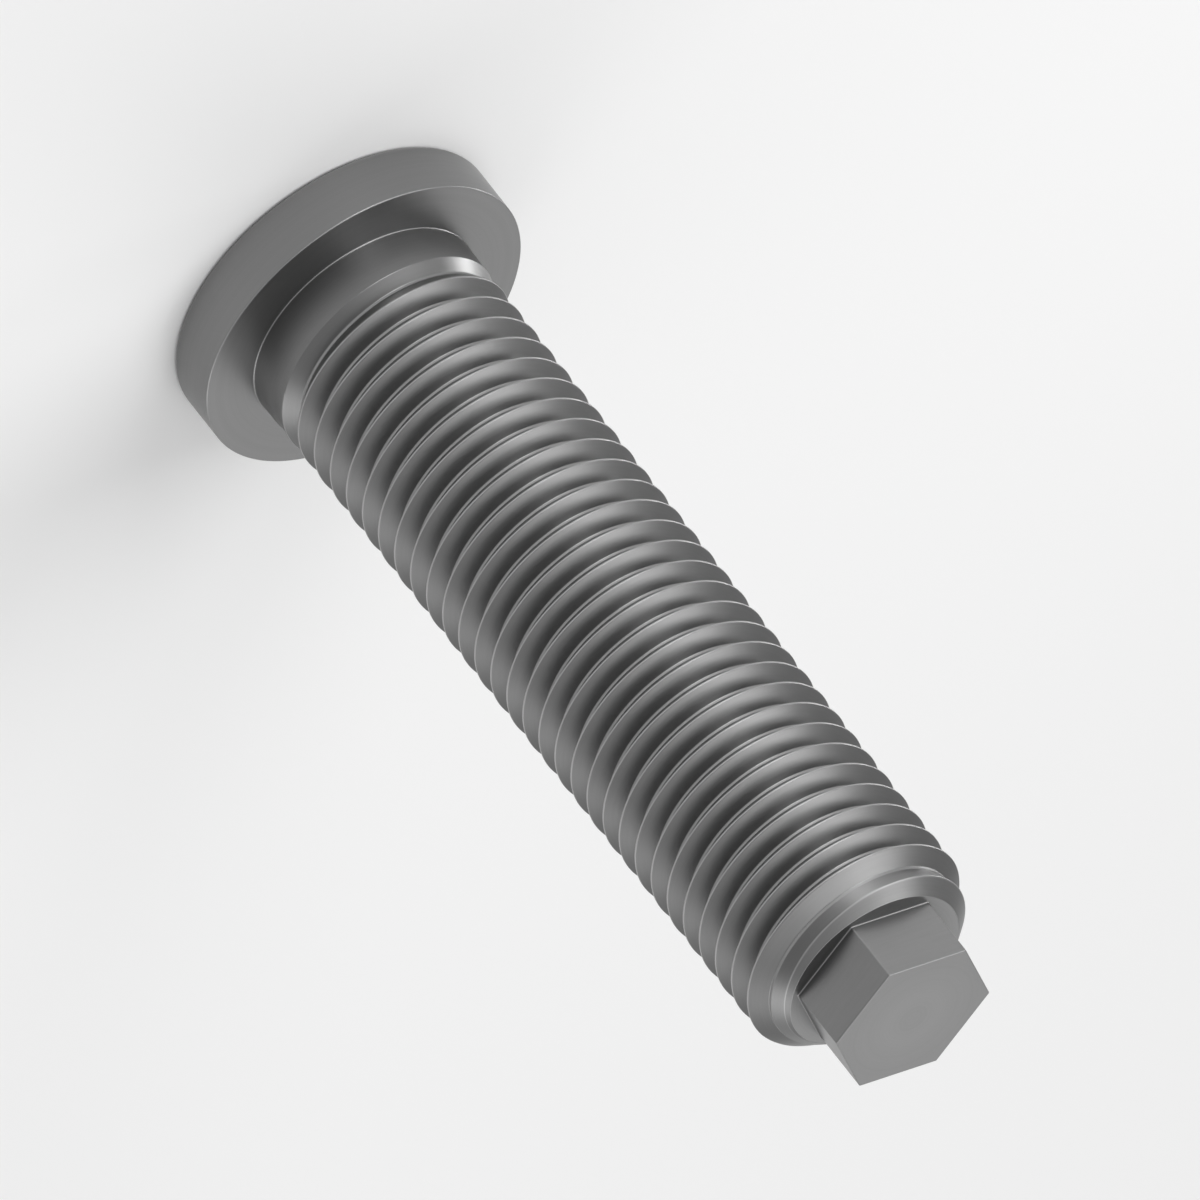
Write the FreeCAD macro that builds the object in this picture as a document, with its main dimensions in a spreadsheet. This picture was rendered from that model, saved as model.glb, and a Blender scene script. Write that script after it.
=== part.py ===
import FreeCAD, Part
import os
import Sketcher

# Adjusting screw turned from one steel bar, in millimetres. It stands on its flat
# flange: the origin is the middle of the flange's back face and +Z runs along the
# screw's axis, past the thread, to the hexagon on the far end.

document = FreeCAD.newDocument("grub_screw")

# Sizes
SIZES = {
    "thread_major": 8.0,
    "thread_pitch": 0.935,
    "thread_depth": 0.54,
    "crest_flat": 0.065,
    "root_flat": 0.10,
    "runout_turns": 0.76,
    "flange_diameter": 11.43,
    "flange_height": 1.93,
    "flange_back_radius": 0.19,
    "flange_front_break": 0.04,
    "neck_corner_slope": 0.05,
    "neck_length": 1.70,
    "shank_length": 29.77,
    "end_chamfer": 0.93,
    "hex_across_flats": 4.95,
    "hex_length": 2.22,
    "cutter_overlap": 0.02,
    "cutter_reach": 0.3,
}
sheet = document.addObject("Spreadsheet::Sheet", "sizes")
for row, (alias, value) in enumerate(SIZES.items(), start=1):
    sheet.set(f"A{row}", alias)
    sheet.set(f"B{row}", str(value))
    sheet.setAlias(f"B{row}", alias)
document.recompute()


def size(expression):
    """The number that an expression in the sheet's sizes gives."""
    return float(sheet.evalExpression(expression))


def origin_plane(body, role):
    """One of a body's own origin planes, found by its role."""
    return next(part for part in body.Origin.OriginFeatures if part.Role == role)


def add_sketch(body, name, role):
    """An empty sketch flat on one of the body's origin planes."""
    sketch = body.newObject("Sketcher::SketchObject", name)
    sketch.AttachmentSupport = [(origin_plane(body, role), "")]
    sketch.MapMode = "FlatFace"
    return sketch


def bind(sketch, constraint, name, expression):
    """Adds a named constraint and ties its value to the sheet."""
    sketch.addConstraint(constraint)
    index = sketch.ConstraintCount - 1
    sketch.renameConstraint(index, name)
    sketch.setExpression(f"Constraints.{name}", expression)


def draw_outline(sketch, corners):
    """A closed outline of straight lines. Each corner is a name and two
    expressions, its distance from the screw's axis and its height."""
    places = [FreeCAD.Vector(size(across), size(height), 0) for _, across, height in corners]
    for start, end in zip(places, places[1:] + places[:1]):
        sketch.addGeometry(Part.LineSegment(start, end), False)
    for line, (name, across, height) in enumerate(corners):
        following = (line + 1) % len(corners)
        sketch.addConstraint(Sketcher.Constraint("Coincident", line, 2, following, 1))
        if across == "0":
            sketch.addConstraint(Sketcher.Constraint("PointOnObject", line, 1, -2))
        else:
            distance = Sketcher.Constraint("DistanceX", -1, 1, line, 1, places[line].x)
            bind(sketch, distance, f"{name}_across", across)
        if height == "0":
            sketch.addConstraint(Sketcher.Constraint("PointOnObject", line, 1, -1))
        else:
            distance = Sketcher.Constraint("DistanceY", -1, 1, line, 1, places[line].y)
            bind(sketch, distance, f"{name}_height", height)


SAME_PLACE = 1e-6


def round_edge(feature, radius, height):
    """The name of the full circle of that radius at that height on a feature."""
    for index, edge in enumerate(feature.Shape.Edges, start=1):
        curve = edge.Curve
        if not isinstance(curve, Part.Circle):
            continue
        misses = (abs(curve.Radius - radius), abs(curve.Center.z - height))
        if max(misses) < SAME_PLACE:
            return f"Edge{index}"
    raise ValueError(f"no circle of radius {radius} at height {height}")


FULL_TURN = 360

body = document.addObject("PartDesign::Body", "grub_screw")
body.Label = "grub_screw"

# Turned blank: flange, shank and the chamfer at the thread's end
blank_outline = add_sketch(body, "blank_outline", "XZ_Plane")
draw_outline(blank_outline, [
    ("base", "0", "0"),
    ("flange_back", "sizes.flange_diameter / 2", "0"),
    ("flange_front", "sizes.flange_diameter / 2", "sizes.flange_height"),
    ("neck", "sizes.thread_major / 2", "sizes.flange_height"),
    ("chamfer_start", "sizes.thread_major / 2",
     "sizes.flange_height + sizes.shank_length - sizes.end_chamfer"),
    ("chamfer_end", "sizes.thread_major / 2 - sizes.end_chamfer",
     "sizes.flange_height + sizes.shank_length"),
    ("end", "0", "sizes.flange_height + sizes.shank_length"),
])
blank = body.newObject("PartDesign::Revolution", "blank")
blank.Profile = blank_outline
blank.ReferenceAxis = (blank_outline, ["V_Axis"])
blank.Angle = FULL_TURN
document.recompute()

# Rounded back edge of the flange
flange_radius = size("sizes.flange_diameter / 2")
back_round = body.newObject("PartDesign::Fillet", "back_round")
back_round.Base = (blank, [round_edge(blank, flange_radius, 0)])
back_round.setExpression("Radius", "sizes.flange_back_radius")
document.recompute()

# Small break on the flange's front edge
flange_height = size("sizes.flange_height")
front_break = body.newObject("PartDesign::Chamfer", "front_break")
front_break.Base = (back_round, [round_edge(back_round, flange_radius, flange_height)])
front_break.setExpression("Size", "sizes.flange_front_break")
document.recompute()

# Small slope that the tool's nose leaves in the corner of neck and flange
neck_radius = size("sizes.thread_major / 2")
neck_corner = body.newObject("PartDesign::Chamfer", "neck_corner")
neck_corner.Base = (front_break, [round_edge(front_break, neck_radius, flange_height)])
neck_corner.setExpression("Size", "sizes.neck_corner_slope")
document.recompute()

# Section of the thread's groove. Its flanks run a little past the shank's surface
# and then straight out, so that neighbouring turns of the cutter stay apart.
ROOT_RADIUS = "(sizes.thread_major / 2 - sizes.thread_depth)"
LIP_RADIUS = "(sizes.thread_major / 2 + sizes.cutter_overlap)"
CUTTER_RADIUS = "(sizes.thread_major / 2 + sizes.cutter_reach)"
GROOVE_HEIGHT = ("(sizes.flange_height + sizes.neck_length"
                 " + (sizes.thread_pitch - sizes.crest_flat) / 2)")
FLANK_SLOPE = ("((sizes.thread_pitch - sizes.crest_flat - sizes.root_flat)"
               " / 2 / sizes.thread_depth)")
LIP_HALF = (f"((sizes.thread_pitch - sizes.crest_flat) / 2"
            f" + sizes.cutter_overlap * {FLANK_SLOPE})")
groove_outline = add_sketch(body, "groove_outline", "XZ_Plane")
draw_outline(groove_outline, [
    ("root_low", ROOT_RADIUS, f"{GROOVE_HEIGHT} - sizes.root_flat / 2"),
    ("lip_low", LIP_RADIUS, f"{GROOVE_HEIGHT} - {LIP_HALF}"),
    ("outer_low", CUTTER_RADIUS, f"{GROOVE_HEIGHT} - {LIP_HALF}"),
    ("outer_high", CUTTER_RADIUS, f"{GROOVE_HEIGHT} + {LIP_HALF}"),
    ("lip_high", LIP_RADIUS, f"{GROOVE_HEIGHT} + {LIP_HALF}"),
    ("root_high", ROOT_RADIUS, f"{GROOVE_HEIGHT} + sizes.root_flat / 2"),
])
document.recompute()



def cut_groove(name, height):
    """Carries the groove's section along a right-hand helix up to that height."""
    groove = body.newObject("PartDesign::SubtractiveHelix", name)
    groove.Profile = groove_outline
    groove.ReferenceAxis = (groove_outline, ["V_Axis"])
    groove.Mode = "pitch-height-angle"
    groove.setExpression("Pitch", "sizes.thread_pitch")
    groove.setExpression("Height", height)
    return groove


# Thread from the neck to beyond the chamfer
thread = cut_groove(
    "thread",
    f"sizes.flange_height + sizes.shank_length + sizes.thread_pitch - {GROOVE_HEIGHT}",
)
document.recompute()

# Run-out, where the cutter leaves the shank on a widening spiral towards the flange
runout = cut_groove("runout", "sizes.runout_turns * sizes.thread_pitch")
runout.Reversed = True
runout.setExpression(
    "Angle",
    "atan((sizes.thread_depth + sizes.cutter_overlap)"
    " / (sizes.runout_turns * sizes.thread_pitch))",
)
document.recompute()

# Driving hexagon on the end face, with corners on the Y axis
HEX_SIDES = 6
hex_outline = add_sketch(body, "hex_outline", "XY_Plane")
hex_outline.setExpression(
    "AttachmentOffset.Base.z", "sizes.flange_height + sizes.shank_length")
corner_radius = size("sizes.hex_across_flats / sqrt(3)")
hex_circle = hex_outline.addGeometry(
    Part.Circle(FreeCAD.Vector(0, 0, 0), FreeCAD.Vector(0, 0, 1), corner_radius), True)
hex_outline.addConstraint(Sketcher.Constraint("Coincident", hex_circle, 3, -1, 1))
bind(hex_outline, Sketcher.Constraint("Radius", hex_circle, corner_radius),
     "corner_radius", "sizes.hex_across_flats / sqrt(3)")
turn = FreeCAD.Rotation(FreeCAD.Vector(0, 0, 1), FULL_TURN / HEX_SIDES)
corner = FreeCAD.Vector(0, corner_radius, 0)
first_side = hex_circle + 1
for side in range(HEX_SIDES):
    next_corner = turn.multVec(corner)
    hex_outline.addGeometry(Part.LineSegment(corner, next_corner), False)
    corner = next_corner
for side in range(HEX_SIDES):
    line = first_side + side
    following = first_side + (side + 1) % HEX_SIDES
    hex_outline.addConstraint(Sketcher.Constraint("Coincident", line, 2, following, 1))
    hex_outline.addConstraint(Sketcher.Constraint("PointOnObject", line, 1, hex_circle))
    if side:
        hex_outline.addConstraint(Sketcher.Constraint("Equal", first_side, line))
hex_outline.addConstraint(Sketcher.Constraint("PointOnObject", first_side, 1, -2))
hexagon = body.newObject("PartDesign::Pad", "hexagon")
hexagon.Profile = hex_outline
hexagon.setExpression("Length", "sizes.hex_length")
body.Tip = hexagon
document.recompute()

# Checks on every object, then the file for the one piece
for thing in document.Objects:
    if {"Invalid", "Error"} & set(thing.State):
        raise RuntimeError(f"{thing.Name} failed: {thing.State}")
if body.Shape.isNull() or not body.Shape.isValid():
    raise RuntimeError("the screw's solid is not valid")
if not neck_corner.Shape.Volume > thread.Shape.Volume > runout.Shape.Volume:
    raise RuntimeError("the thread or its run-out cuts nothing")
if not hexagon.Shape.Volume > runout.Shape.Volume:
    raise RuntimeError("the hexagon adds no metal")
os.makedirs("parts", exist_ok=True)
body.Shape.exportStep(f"parts/{body.Label}.step")
print(f"{body.Label}: {body.Shape.Volume:.1f} mm3, {len(body.Shape.Faces)} faces")
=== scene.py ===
import math
from functools import partial

import bpy
import numpy as np
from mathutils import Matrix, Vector


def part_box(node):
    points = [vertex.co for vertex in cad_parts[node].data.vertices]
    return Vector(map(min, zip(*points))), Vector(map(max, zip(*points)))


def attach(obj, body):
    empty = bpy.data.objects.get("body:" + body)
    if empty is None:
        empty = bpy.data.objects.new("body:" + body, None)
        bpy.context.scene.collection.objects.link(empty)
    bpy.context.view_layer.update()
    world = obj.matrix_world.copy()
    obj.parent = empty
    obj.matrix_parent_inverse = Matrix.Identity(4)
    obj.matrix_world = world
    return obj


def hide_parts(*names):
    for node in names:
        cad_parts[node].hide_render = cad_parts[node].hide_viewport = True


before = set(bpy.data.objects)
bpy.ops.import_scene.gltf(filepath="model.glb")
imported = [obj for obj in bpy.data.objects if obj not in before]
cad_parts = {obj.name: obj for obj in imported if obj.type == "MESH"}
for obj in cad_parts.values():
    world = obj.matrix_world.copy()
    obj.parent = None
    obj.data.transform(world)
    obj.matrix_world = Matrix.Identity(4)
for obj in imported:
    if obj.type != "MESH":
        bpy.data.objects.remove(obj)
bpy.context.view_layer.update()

# The screw is one piece of bar steel. Disc flange, plain neck, right-hand thread,
# chamfer and flat end are turned in one setting, and the hexagon is milled on the end
# last. Heights run up from the flange's back face, and angles from -Y towards +X.
MM = 0.001
highest_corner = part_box("grub_screw")[1]
FLANGE_RADIUS = highest_corner.x
TOTAL_HEIGHT = highest_corner.z
FLANGE_HEIGHT = 1.93 * MM
THREAD_RADIUS = 4.0 * MM
HEX_HEIGHT = 2.22 * MM
END_HEIGHT = TOTAL_HEIGHT - HEX_HEIGHT
END_RADIUS = 3.07 * MM
CHAMFER_TILT = 45
BACK_ROUND = 0.19 * MM
EDGE_BREAK = 0.04 * MM
COLUMNS = 144
ARC_STEPS = 8


def turned_points(radius, angle, height):
    """Points of a turned surface: radius along (sin angle, -cos angle), then height."""
    radius, angle, height = np.broadcast_arrays(radius, angle, height)
    return np.stack([radius * np.sin(angle), -radius * np.cos(angle), height], axis=-1)


def arc(across, height, size, first, last):
    """Rings of a rounded edge: across, height and the section normal (out, up) along a
    circle's arc about a centre, between two angles in degrees from outwards to up. An
    arc that runs backwards is an inside corner, and its normals point to the centre."""
    turn = np.radians(np.linspace(first, last, ARC_STEPS + 1))
    out, up = np.cos(turn), np.sin(turn)
    side = np.sign(last - first)
    return np.stack([across + size * out, height + size * up, side * out, side * up], axis=1)


def cone_radius(height):
    """Radius of the end chamfer: it loses as much radius as it gains height."""
    return END_RADIUS + END_HEIGHT - height


# The thread is one groove wound round the shank. It starts in a long run-out beside the
# neck, and its middle is at GROOVE_HEIGHT where it passes GROOVE_ANGLE. Above
# SQUEEZE_HEIGHT its turns lie closer, so that the last ridge ends on the chamfer.
PITCH = 0.935 * MM
DEPTH = 0.54 * MM
CREST_FLAT = 0.065 * MM
ROOT_FLAT = 0.10 * MM
GROOVE_HEIGHT = 4.065 * MM
GROOVE_ANGLE = math.radians(90)
GROOVE_END = END_HEIGHT + END_RADIUS - THREAD_RADIUS + DEPTH
RUNOUT_START = math.radians(-300)
RUNOUT_TURN = math.radians(490)
SQUEEZE_HEIGHT = END_HEIGHT - 0.20 * MM
SQUEEZE_ROOM = 0.18 * MM
CORNER_REACH = 0.02 * MM
CORNER_SHARE = 0.4
ROWS = 8
ROOT_ROW = 3


def depth_share(angle):
    """Share of its full depth that the groove has at each angle. Over the run-out it
    grows in proportion to the angle."""
    return np.clip((angle - RUNOUT_START) / RUNOUT_TURN, 0, 1)


def groove_grid(angle):
    """Grid of one groove's section at each angle: radius, height and section normal.

    The section's corners are both lips and both root corners, and the helix lifts them
    by one pitch a turn. A corner outside the end chamfer's cone comes in to the cone.
    Each corner gives two rows, a short way along the straight lines on either side of
    it: CORNER_REACH, or on a very short line CORNER_SHARE of its length. Each row has
    its own line's normal, so that the corner is shaded as a small rounded edge.
    """
    middle = GROOVE_HEIGHT + PITCH * (angle - GROOVE_ANGLE) / (2 * math.pi)
    lip = (PITCH - CREST_FLAT) / 2
    offsets = np.array([-lip - CREST_FLAT, -lip, -ROOT_FLAT / 2, ROOT_FLAT / 2,
                        lip, lip + CREST_FLAT])
    in_root = np.array([0, 0, 1, 1, 0, 0])
    depth = DEPTH * depth_share(angle)
    height = middle[:, None] + offsets
    over = np.maximum(height - SQUEEZE_HEIGHT, 0)
    height = height - over + SQUEEZE_ROOM * (1 - np.exp(-over / SQUEEZE_ROOM))
    radius = THREAD_RADIUS - depth[:, None] * in_root
    radius = np.minimum(radius, cone_radius(height))

    rise, gain = np.diff(height, axis=1), np.diff(radius, axis=1)
    length = np.hypot(rise, gain)
    share = np.minimum(CORNER_REACH / length, CORNER_SHARE)
    early_radius, early_height = radius[:, :-1] + share * gain, height[:, :-1] + share * rise
    late_radius, late_height = radius[:, 1:] - share * gain, height[:, 1:] - share * rise

    def paired(late, early):
        """Late and early values in turn: the end of one line, then the next one's start."""
        return np.stack([late[:, :-1], early[:, 1:]], axis=2).reshape(len(angle), ROWS)

    out, up = rise / length, -gain / length
    return (paired(late_radius, early_radius), paired(late_height, early_height),
            paired(out, out), paired(up, up))


def turned_normals(radius, angle, height, out, up):
    """Normals of a grid whose columns are turned by angle, from the section normal
    (out, up). The third part, along the turn, makes each normal square to its row:
    it is -(out * dr/da + up * dh/da) / r."""
    along = -(out * np.gradient(radius, angle, axis=0)
              + up * np.gradient(height, angle, axis=0)) / radius
    turn = angle[:, None]
    normal = np.stack([out * np.sin(turn) + along * np.cos(turn),
                       along * np.sin(turn) - out * np.cos(turn), up], axis=-1)
    return normal / np.linalg.norm(normal, axis=-1, keepdims=True)


# The hexagon takes a spanner or socket. It is milled from the bar's end, which leaves
# six flat sides that meet in nearly sharp corners, one of them at angle 0.
HEX_ACROSS_FLATS = 4.95 * MM
HEX_SIDES = 6
HEX_CORNER_ROUND = 0.06 * MM
HEX_ARC_COLUMNS = 4


def hexagon_plan():
    """Core points and normals in plan of a hexagon with rounded corners. Each side has
    its columns shared out: the first few turn the normal about the corner, and the
    others run straight on to the next corner."""
    side, step = np.divmod(np.arange(COLUMNS) + HEX_ARC_COLUMNS // 2, COLUMNS // HEX_SIDES)
    turn = np.clip(step / HEX_ARC_COLUMNS, 0, 1)
    run = np.clip((step - HEX_ARC_COLUMNS) / (COLUMNS // HEX_SIDES - HEX_ARC_COLUMNS), 0, 1)
    sixth = 2 * math.pi / HEX_SIDES
    first = RUNOUT_START + sixth * side
    facing = first + sixth * (turn - 0.5)
    corner = (HEX_ACROSS_FLATS / 2 - HEX_CORNER_ROUND) / math.cos(sixth / 2)
    start = turned_points(corner, first, 0.0)
    end = turned_points(corner, first + sixth, 0.0)
    core = start + (end - start) * run[:, None]
    return core, turned_points(1.0, facing, 0.0)


# The steel's skin is one closed surface. Its edges are rounded a little, and a highlight is
# painted on them as a lighter colour: the row table below is how much lighter each row of
# the groove is painted, in full along the crests and less along the root, and it fades out
# where the thread ends.
ROW_HIGHLIGHT_SHARE = np.array([1, 0, 0, 0.8, 0.8, 0, 0, 1])
HIGHLIGHT_FADE = 0.25 * MM
ARC_HIGHLIGHT_SHARE = 0.5


def ring_quads(lower, upper):
    """Faces between closed rows of vertex numbers and the rows above, seen from outside."""
    after = partial(np.roll, shift=-1, axis=-1)
    return np.stack([lower, after(lower), after(upper), upper], axis=-1)


def screw_mesh():
    """One closed surface. The thread is a strip eight rows wide that winds up the
    shank and shares its upper edge with its own next turn. It winds on until its lower
    edge is at GROOVE_END, where the chamfer's cone has come in to the root. The strip's
    two ends lie flat on the neck and on the chamfer, each inside one many-sided face."""
    # The thread's strip, and the upper edge of its last turn
    rise = PITCH / (2 * math.pi)
    lowest = GROOVE_HEIGHT + rise * (RUNOUT_START - GROOVE_ANGLE) - PITCH / 2
    last = math.ceil((GROOVE_END - lowest) / PITCH * COLUMNS)
    angle = RUNOUT_START + np.arange(last + 1) * 2 * math.pi / COLUMNS
    radius, height, out, up = groove_grid(angle)
    strip = turned_points(radius, angle[:, None], height)
    strip_normal = turned_normals(radius, angle, height, out, up)
    # Painted highlight: each row's share of the lighter edge colour. It grows with the groove's
    # depth over the run-out and fades out at the thread's end.
    fade = np.clip((GROOVE_END - height[:, ROOT_ROW]) / HIGHLIGHT_FADE, 0, 1)
    edge = ROW_HIGHLIGHT_SHARE * (depth_share(angle) * fade)[:, None]
    edge[:COLUMNS, 0] = 0
    over_angle = angle[last - COLUMNS + 1:] + 2 * math.pi
    radius, height, out, up = groove_grid(over_angle)
    top_edge = turned_points(radius, over_angle[:, None], height)[:, 0]
    top_normal = turned_normals(radius, over_angle, height, out, up)[:, 0]

    # Rings of the flange with its corner to the neck, of the end face and of the hexagon
    ring_angle = angle[:COLUMNS]
    section = np.vstack([
        arc(FLANGE_RADIUS - BACK_ROUND, BACK_ROUND, BACK_ROUND, -90, 0),
        arc(FLANGE_RADIUS - EDGE_BREAK, FLANGE_HEIGHT - EDGE_BREAK, EDGE_BREAK, 0, 90),
        arc(THREAD_RADIUS + EDGE_BREAK, FLANGE_HEIGHT + EDGE_BREAK, EDGE_BREAK, 270, 180),
    ])
    end_inset = EDGE_BREAK * math.tan(math.radians(90 - CHAMFER_TILT) / 2)
    end_section = arc(END_RADIUS - end_inset, END_HEIGHT - EDGE_BREAK, EDGE_BREAK,
                      CHAMFER_TILT, 90)
    hex_section = np.vstack([
        arc(EDGE_BREAK, END_HEIGHT + EDGE_BREAK, EDGE_BREAK, 270, 180),
        arc(-EDGE_BREAK, TOTAL_HEIGHT - EDGE_BREAK, EDGE_BREAK, 0, 90),
    ])
    rings, end_rings = (turned_points(part[:, :1], ring_angle, part[:, 1:2])
                        for part in (section, end_section))
    ring_normal, end_normal = (turned_points(part[:, 2:3], ring_angle, part[:, 3:4])
                               for part in (section, end_section))
    core, facing = hexagon_plan()
    lift = np.array([0, 0, 1])
    hex_rings = (core + (HEX_CORNER_ROUND + hex_section[:, :1, None]) * facing
                 + hex_section[:, 1:2, None] * lift)
    hex_normal = hex_section[:, 2:3, None] * facing + hex_section[:, 3:4, None] * lift
    # Painted highlight on the rounded edges of the flange, the end and the hexagon, lightest in
    # each arc's middle.
    arc_highlight = ARC_HIGHLIGHT_SHARE * np.sin(np.linspace(0, math.pi, ARC_STEPS + 1))
    ring_highlights = [np.repeat(np.resize(arc_highlight, len(part)), COLUMNS)
                  for part in (section, end_section, hex_section)]
    poles = np.array([[0, 0, 0], [0, 0, TOTAL_HEIGHT]])
    pole_normal = np.array([[0, 0, -1], [0, 0, 1]])

    # Every point and normal in one order, and each point's number
    groups = [part.reshape(-1, 3)
              for part in (strip, top_edge, rings, end_rings, hex_rings, poles)]
    normals = [part.reshape(-1, 3) for part in (strip_normal, top_normal, ring_normal,
                                                end_normal, hex_normal, pole_normal)]
    starts = np.cumsum([0] + [len(group) for group in groups])
    numbers = [np.arange(low, high) for low, high in zip(starts[:-1], starts[1:])]
    strip_id = numbers[0].reshape(last + 1, ROWS)
    next_turn = np.concatenate([strip_id[COLUMNS:, 0], numbers[1]])
    strip_id = np.hstack([strip_id, next_turn[:, None]])
    ring_id, end_id, hex_id = (part.reshape(-1, COLUMNS) for part in numbers[2:5])
    back_pole, front_pole = numbers[5]

    # Faces: the winding, the bands between rings, a seam at each end, and both flat ends
    winding = np.stack([strip_id[:-1, :-1], strip_id[1:, :-1],
                        strip_id[1:, 1:], strip_id[:-1, 1:]], axis=-1)
    neck = ring_quads(ring_id[-1], strip_id[:COLUMNS, 0])[:-1]
    turned = np.roll(end_id[0], -(last % COLUMNS))
    upper = strip_id[last - COLUMNS:, ROWS]
    tip = np.stack([upper[:-1], upper[1:], np.append(turned[1:], turned[0]), turned], axis=-1)
    turned_quads = np.concatenate([part.reshape(-1, 4) for part in (
        winding, neck, tip[1:], ring_quads(ring_id[:-1], ring_id[1:]),
        ring_quads(end_id[:-1], end_id[1:]), ring_quads(end_id[-1], hex_id[0]))])
    milled_quads = ring_quads(hex_id[:-1], hex_id[1:]).reshape(-1, 4)
    faces = turned_quads.tolist() + milled_quads.tolist()
    finish = np.repeat([0, 1], [len(turned_quads), len(milled_quads)])
    neck_seam = [ring_id[-1, -1], ring_id[-1, 0], *strip_id[0], strip_id[COLUMNS - 1, 0]]
    tip_seam = [*strip_id[last, ROWS:0:-1], upper[0], upper[1], turned[1], turned[0]]
    back = np.stack([ring_id[0], np.full(COLUMNS, back_pole), np.roll(ring_id[0], -1)], axis=1)
    front = np.stack([hex_id[-1], np.roll(hex_id[-1], -1), np.full(COLUMNS, front_pole)], axis=1)
    faces += [neck_seam, tip_seam] + back.tolist() + front.tolist()

    mesh = bpy.data.meshes.new("grub_screw_steel")
    mesh.from_pydata(np.concatenate(groups).tolist(), [], faces)
    mesh.polygons.foreach_set("material_index", np.pad(finish, (0, len(faces) - len(finish))))
    mesh.shade_smooth()
    mesh.normals_split_custom_set_from_vertices(np.concatenate(normals).tolist())
    # Each point's share of painted highlight colour, stored as a point attribute for the
    # material.
    edges = [edge.ravel(), np.zeros(len(top_edge)), *ring_highlights, np.zeros(len(poles))]
    highlight_layer = mesh.attributes.new("edge", "FLOAT", "POINT")
    highlight_layer.data.foreach_set("value", np.concatenate(edges))
    return mesh


screw = bpy.data.objects.new("grub_screw_steel", screw_mesh())
bpy.context.scene.collection.objects.link(screw)
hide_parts("grub_screw")
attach(screw, "root")

# The finish is bare steel straight from the machine, a dark neutral grey with a satin
# sheen. The tool leaves fine marks: rings round the axis where the screw is turned,
# and straight lines across the hexagon's milled sides.
DARK_STEEL = (0.205, 0.205, 0.205, 1)
LIGHT_STEEL = (0.26, 0.26, 0.26, 1)
# Painted highlight: the lighter colour painted along the rounded edges.
EDGE_HIGHLIGHT_COLOUR = (0.40, 0.40, 0.40, 1)
SHEEN = 0.36
DULL = 0.44
RING_SPACING = 0.07 * MM
LINE_SPACING = 0.10 * MM
MARK_DEPTH = 0.0012 * MM
PATCH_SIZE = 24
STREAK_SHARE = 0.35
MILLED_STRETCH = 0.08


def bare_steel():
    """Group that turns a place on the steel into its colour, its roughness and the
    height of its tool marks. The marks are noise of one spacing. The tone mixes them
    with a slow noise PATCH_SIZE spacings wide, and moves the colour from dark to light
    and the roughness from dull to sheen. Edge is the share of a lighter colour painted
    on along the edges as a highlight."""
    group = bpy.data.node_groups.new("bare_steel", "ShaderNodeTree")
    for name, kind in (("Place", "NodeSocketVector"), ("Spacing", "NodeSocketFloat"),
                       ("Edge", "NodeSocketFloat")):
        group.interface.new_socket(name, in_out="INPUT", socket_type=kind)
    for name, kind in (("Colour", "NodeSocketColor"), ("Roughness", "NodeSocketFloat"),
                       ("Height", "NodeSocketFloat")):
        group.interface.new_socket(name, in_out="OUTPUT", socket_type=kind)
    nodes, link = group.nodes, group.links.new
    given = nodes.new("NodeGroupInput")
    result = nodes.new("NodeGroupOutput")
    per_metre = nodes.new("ShaderNodeMath")
    per_metre.operation = "DIVIDE"
    per_metre.inputs[0].default_value = 1
    link(given.outputs["Spacing"], per_metre.inputs[1])
    place = nodes.new("ShaderNodeVectorMath")
    place.operation = "SCALE"
    link(given.outputs["Place"], place.inputs[0])
    link(per_metre.outputs[0], place.inputs["Scale"])
    marks = nodes.new("ShaderNodeTexNoise")
    marks.inputs["Scale"].default_value = 1
    link(place.outputs["Vector"], marks.inputs["Vector"])
    patches = nodes.new("ShaderNodeTexNoise")
    patches.inputs["Scale"].default_value = 1 / PATCH_SIZE
    link(place.outputs["Vector"], patches.inputs["Vector"])
    tone = nodes.new("ShaderNodeMix")
    tone.inputs["Factor"].default_value = STREAK_SHARE
    link(patches.outputs["Fac"], tone.inputs["A"])
    link(marks.outputs["Fac"], tone.inputs["B"])
    colour = nodes.new("ShaderNodeMix")
    colour.data_type = "RGBA"
    colour.inputs["A"].default_value = DARK_STEEL
    colour.inputs["B"].default_value = LIGHT_STEEL
    link(tone.outputs["Result"], colour.inputs["Factor"])
    # Painted highlight: the lighter edge colour, mixed in by the Edge share.
    painted_edge_highlight = nodes.new("ShaderNodeMix")
    painted_edge_highlight.data_type = "RGBA"
    painted_edge_highlight.inputs["B"].default_value = EDGE_HIGHLIGHT_COLOUR
    link(given.outputs["Edge"], painted_edge_highlight.inputs["Factor"])
    link(colour.outputs["Result"], painted_edge_highlight.inputs["A"])
    roughness = nodes.new("ShaderNodeMapRange")
    roughness.inputs["To Min"].default_value = DULL
    roughness.inputs["To Max"].default_value = SHEEN
    link(tone.outputs["Result"], roughness.inputs["Value"])
    link(painted_edge_highlight.outputs["Result"], result.inputs["Colour"])
    link(roughness.outputs["Result"], result.inputs["Roughness"])
    link(marks.outputs["Fac"], result.inputs["Height"])
    return group


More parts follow.
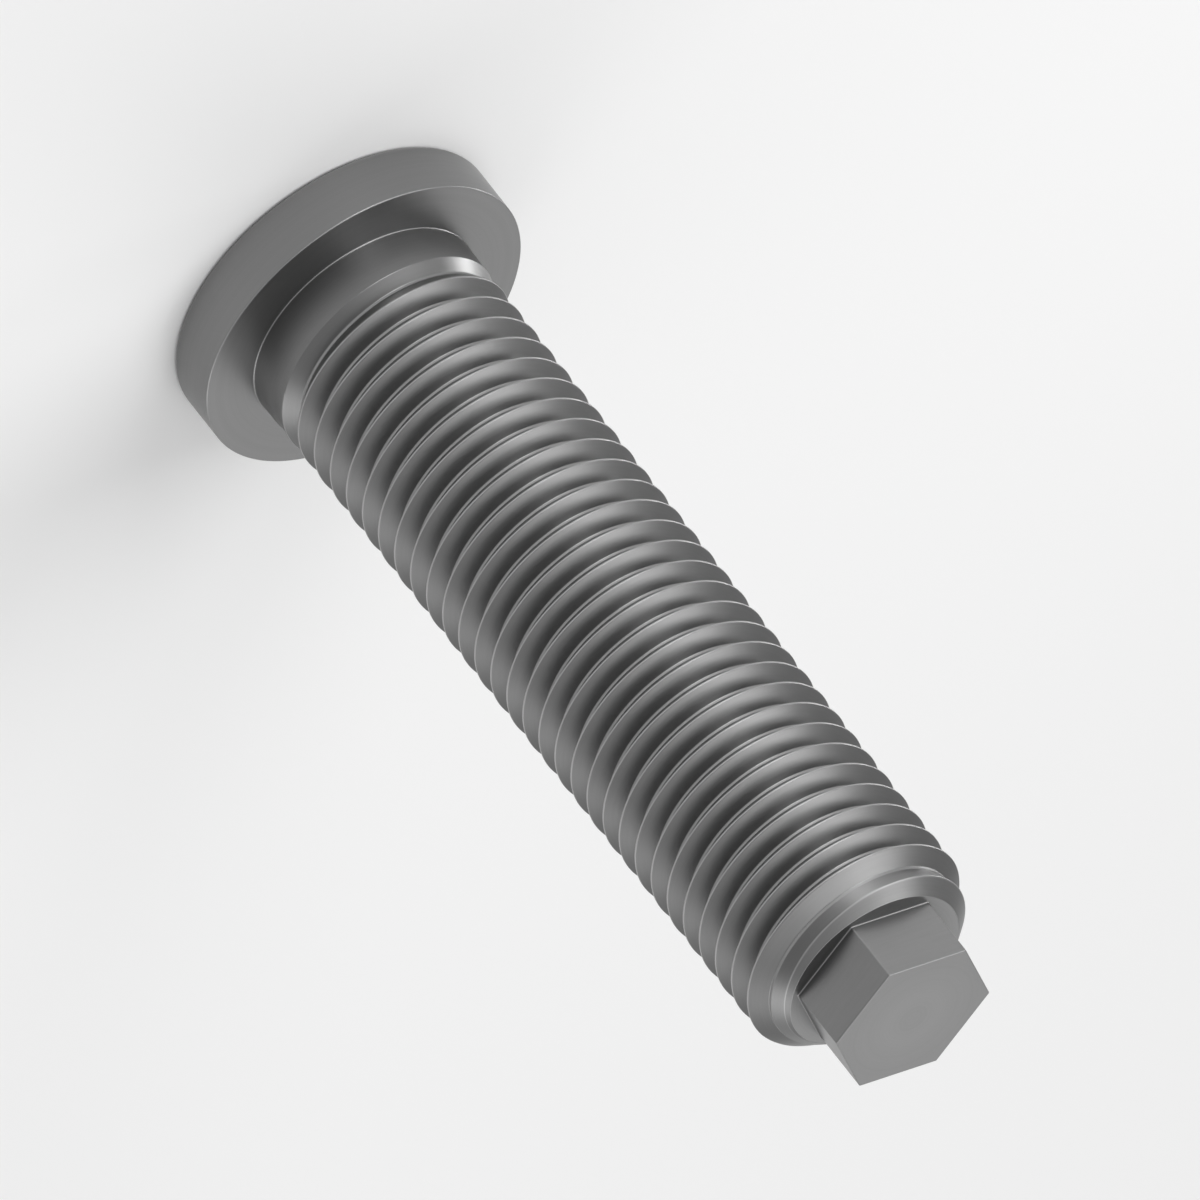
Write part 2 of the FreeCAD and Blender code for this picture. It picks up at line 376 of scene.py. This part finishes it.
def steel_finish(name, look, spacing):
    """Steel with tool marks of that spacing. Returns its nodes, its links and the group
    node, whose Place is still to be linked."""
    steel = bpy.data.materials.new(name)
    steel.use_nodes = True
    nodes, link = steel.node_tree.nodes, steel.node_tree.links.new
    shader = nodes["Principled BSDF"]
    shader.inputs["Metallic"].default_value = 1
    group = nodes.new("ShaderNodeGroup")
    group.node_tree = look
    group.inputs["Spacing"].default_value = spacing
    # Reads each point's share of painted highlight from the mesh.
    edge_highlight_share = nodes.new("ShaderNodeAttribute")
    edge_highlight_share.attribute_name = "edge"
    relief = nodes.new("ShaderNodeBump")
    relief.inputs["Distance"].default_value = MARK_DEPTH
    link(edge_highlight_share.outputs["Fac"], group.inputs["Edge"])
    link(group.outputs["Height"], relief.inputs["Height"])
    link(group.outputs["Colour"], shader.inputs["Base Color"])
    link(group.outputs["Roughness"], shader.inputs["Roughness"])
    link(relief.outputs["Normal"], shader.inputs["Normal"])
    return steel, nodes, link, group


def joined(nodes, link, sources):
    """The vector whose three parts are those sockets."""
    vector = nodes.new("ShaderNodeCombineXYZ")
    for socket, source in zip(vector.inputs, sources):
        link(source, socket)
    return vector.outputs[0]


look = bare_steel()
turned_steel, nodes, link, group = steel_finish("turned_steel", look, RING_SPACING)
where = nodes.new("ShaderNodeTexCoord")
apart = nodes.new("ShaderNodeSeparateXYZ")
link(where.outputs["Object"], apart.inputs[0])
across = nodes.new("ShaderNodeVectorMath")
across.operation = "LENGTH"
link(joined(nodes, link, [apart.outputs["X"], apart.outputs["Y"]]), across.inputs[0])
link(joined(nodes, link, [across.outputs["Value"], apart.outputs["Z"]]), group.inputs["Place"])

milled_steel, nodes, link, group = steel_finish("milled_steel", look, LINE_SPACING)
where = nodes.new("ShaderNodeTexCoord")
drawn_out = nodes.new("ShaderNodeMapping")
drawn_out.inputs["Scale"].default_value = (MILLED_STRETCH, MILLED_STRETCH, 1)
link(where.outputs["Object"], drawn_out.inputs["Vector"])
link(drawn_out.outputs["Vector"], group.inputs["Place"])

screw.data.materials.append(turned_steel)
screw.data.materials.append(milled_steel)

# A plain pale floor of matt paper, on which the screw stands upright on its flange. It
# reaches far past the picture on every side.
FLOOR_REACH = 1.0
PAPER = (0.9, 0.9, 0.9, 1)
PAPER_ROUGHNESS = 0.9
floor_mesh = bpy.data.meshes.new("floor")
floor_mesh.from_pydata([(-FLOOR_REACH, -FLOOR_REACH, 0), (FLOOR_REACH, -FLOOR_REACH, 0),
                        (FLOOR_REACH, FLOOR_REACH, 0), (-FLOOR_REACH, FLOOR_REACH, 0)],
                       [], [(0, 1, 2, 3)])
floor = bpy.data.objects.new("floor", floor_mesh)
bpy.context.scene.collection.objects.link(floor)
paper = bpy.data.materials.new("floor_paper")
paper.use_nodes = True
paper_shader = paper.node_tree.nodes["Principled BSDF"]
paper_shader.inputs["Base Color"].default_value = PAPER
paper_shader.inputs["Roughness"].default_value = PAPER_ROUGHNESS
floor_mesh.materials.append(paper)

# Studio light: a pale even world and round soft lamps that face the screw. The large
# ones stand well off, most of them on the left and behind. The small ones stand low
# and near, and put the bright lines on the thread's edges.
WORLD_WHITE = (1, 1, 1, 1)
WORLD_STRENGTH = 0.35
LAMP_AIM = Vector((0, 0, 0.013))

world = bpy.data.worlds.new("studio")
bpy.context.scene.world = world
world.use_nodes = True
background = world.node_tree.nodes["Background"]
background.inputs["Color"].default_value = WORLD_WHITE
background.inputs["Strength"].default_value = WORLD_STRENGTH


def soft_lamp(name, azimuth, distance, height, size, power, spread=180):
    """Round lamp at (distance sin a, -distance cos a, height), turned to the aim.
    Azimuth and spread are in degrees, lengths in metres and power in watts."""
    turn = math.radians(azimuth)
    light = bpy.data.lights.new(name, "AREA")
    light.shape = "DISK"
    light.size = size
    light.energy = power
    light.spread = math.radians(spread)
    lamp = bpy.data.objects.new(name, light)
    lamp.location = (distance * math.sin(turn), -distance * math.cos(turn), height)
    lamp.rotation_euler = (lamp.location - LAMP_AIM).to_track_quat("Z", "Y").to_euler()
    bpy.context.scene.collection.objects.link(lamp)


soft_lamp("lamp_left", azimuth=-82, distance=0.26, height=0.32, size=0.24, power=0.38)
soft_lamp("lamp_left_high", azimuth=-45, distance=0.12, height=0.39, size=0.26, power=0.25)
soft_lamp("lamp_back", azimuth=180, distance=0.30, height=0.26, size=0.26, power=0.155)
soft_lamp("lamp_back_high", azimuth=170, distance=0.06, height=0.16, size=0.08, power=0.030)
soft_lamp("lamp_right_high", azimuth=70, distance=0.13, height=0.38, size=0.26, power=0.085)
soft_lamp("lamp_back_right", azimuth=135, distance=0.30, height=0.28, size=0.26, power=0.08)
soft_lamp("lamp_right_low", azimuth=115, distance=0.38, height=0.13, size=0.26, power=0.29)
soft_lamp("lamp_near_left", azimuth=-115, distance=0.12, height=0.016, size=0.030,
          power=0.0025, spread=50)
soft_lamp("lamp_near_front", azimuth=-35, distance=0.13, height=0.030, size=0.060, power=0.052)

# Camera: far off, with no perspective, above and in front of the screw. It is rolled
# so that the screw's axis runs down to the lower right.
VIEW_AZIMUTH = math.radians(4.98)
VIEW_ELEVATION = math.radians(31.414)
AXIS_SLANT = math.radians(51.662)
AXIS_OFFSET = 12.837 * MM
SIDE_OFFSET = -0.432 * MM
PICTURE_WIDTH = 37.019 * MM
CAMERA_DISTANCE = 0.3
NEAR_LIMIT = 0.01
FAR_LIMIT = 10

aside = np.array([math.cos(VIEW_AZIMUTH), math.sin(VIEW_AZIMUTH), 0])
towards = np.array([math.sin(VIEW_AZIMUTH) * math.cos(VIEW_ELEVATION),
                    -math.cos(VIEW_AZIMUTH) * math.cos(VIEW_ELEVATION),
                    math.sin(VIEW_ELEVATION)])
along = np.cross(towards, aside)
right = math.cos(AXIS_SLANT) * along - math.sin(AXIS_SLANT) * aside
down = math.sin(AXIS_SLANT) * along + math.cos(AXIS_SLANT) * aside
target = AXIS_OFFSET * along + SIDE_OFFSET * aside
pose = np.eye(4)
pose[:3, 0], pose[:3, 1], pose[:3, 2] = right, -down, towards
pose[:3, 3] = target + CAMERA_DISTANCE * towards
lens = bpy.data.cameras.new("camera")
lens.type = "ORTHO"
lens.ortho_scale = PICTURE_WIDTH
lens.clip_start = NEAR_LIMIT
lens.clip_end = FAR_LIMIT
camera = bpy.data.objects.new("camera", lens)
camera.matrix_world = pose.T.tolist()
bpy.context.scene.collection.objects.link(camera)
bpy.context.scene.camera = camera
bpy.context.scene.view_settings.view_transform = "Standard"
